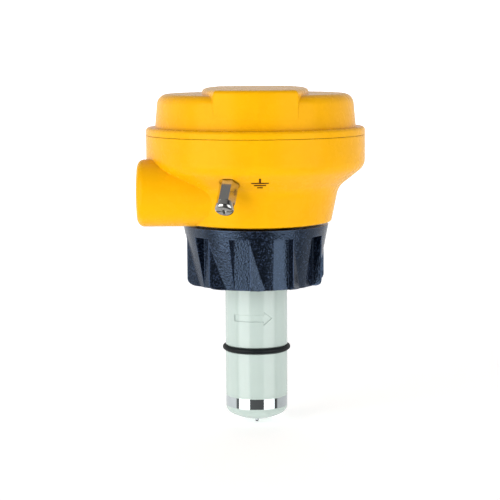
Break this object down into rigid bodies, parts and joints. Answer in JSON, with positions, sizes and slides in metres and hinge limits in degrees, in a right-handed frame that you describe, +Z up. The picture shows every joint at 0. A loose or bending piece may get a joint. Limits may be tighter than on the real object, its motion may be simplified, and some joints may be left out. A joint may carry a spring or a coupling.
{
  "type": "insertion electromagnetic flow meter",
  "caption": "Insertion flow meter with a round yellow screw-lidded housing, side conduit entry, black union nut and a pale probe ending in a steel ring and electrodes.",
  "frame": {"origin": "on the probe axis, in the plane where the underside of the probe's collar seats on a fitting", "axes": "+Z up along the probe axis towards the lid, -Y the front with the earth terminal, -X the way the conduit entry points"},
  "size_m": [0.0962, 0.0961, 0.1434],
  "materials": {
    "housing_yellow": "moulded, fine satin skin",
    "nut_black": "fine spark-eroded texture",
    "probe_plastic": "smooth moulded fluoropolymer look",
    "steel": "polished",
    "plated_steel": "zinc plated",
    "seal_rubber": "plain black",
    "coil_iron": "plain",
    "bobbin_plastic": "moulded",
    "winding_copper": "enamelled wire",
    "lead_insulation": "plain insulation",
    "lock_nut_plastic": "moulded",
    "board_green": "solder mask",
    "terminal_green": "moulded",
    "chip_black": "moulded package",
    "capacitor_can": "drawn can with sleeve"
  },
  "bodies": {
    "meter": {"housing": "housing_yellow", "probe_body": "probe_plastic", "probe_tip": "probe_plastic", "ground_ring": "steel", "electrode_front": "steel", "electrode_rear": "steel", "ground_post": "plated_steel", "ground_post_nut": "plated_steel", "ground_lock_washer": "plated_steel", "board_screws": "plated_steel", "terminal_screws": "plated_steel", "probe_o_ring": "seal_rubber", "neck_seal": "seal_rubber", "electrode_seals": "seal_rubber", "coil_core": "coil_iron", "coil_bobbin": "bobbin_plastic", "sensor_connector": "bobbin_plastic", "coil_winding": "winding_copper", "coil_leads": "lead_insulation", "electrode_leads": "lead_insulation", "probe_lock_nut": "lock_nut_plastic", "main_board": "board_green", "terminal_block": "terminal_green", "board_chips": "chip_black", "board_capacitors": "capacitor_can"},
    "nut": {"cap_nut": "nut_black"},
    "lid_seal": {"lid_seal": "seal_rubber"},
    "lid": {"lid": "housing_yellow"},
    "ground_screw": {"ground_screw": "plated_steel"}
  },
  "joints": [
    {"name": "nut_spin", "type": "hinge", "parent": "meter", "child": "nut", "pos_m": [0, 0, 0], "axis": [0, 0, 1], "continuous": true},
    {"name": "lid_lift", "type": "slide", "parent": "meter", "child": "lid_seal", "axis": [0, 0, 1], "range_m": [0, 0.006]},
    {"name": "lid_turn", "type": "hinge", "parent": "lid_seal", "child": "lid", "pos_m": [0, 0, 0.0468], "axis": [0, 0, 1], "range_deg": [0, 720]},
    {"name": "ground_screw_turn", "type": "hinge", "parent": "meter", "child": "ground_screw", "pos_m": [-0.01238, -0.04465, 0.02118], "axis": [-0.1669, -0.602, -0.7809], "range_deg": [0, 360]}
  ],
  "couplings": [
    {"joint": "lid_lift", "follows": "lid_turn", "m_per_rad": 0.0004774}
  ]
}
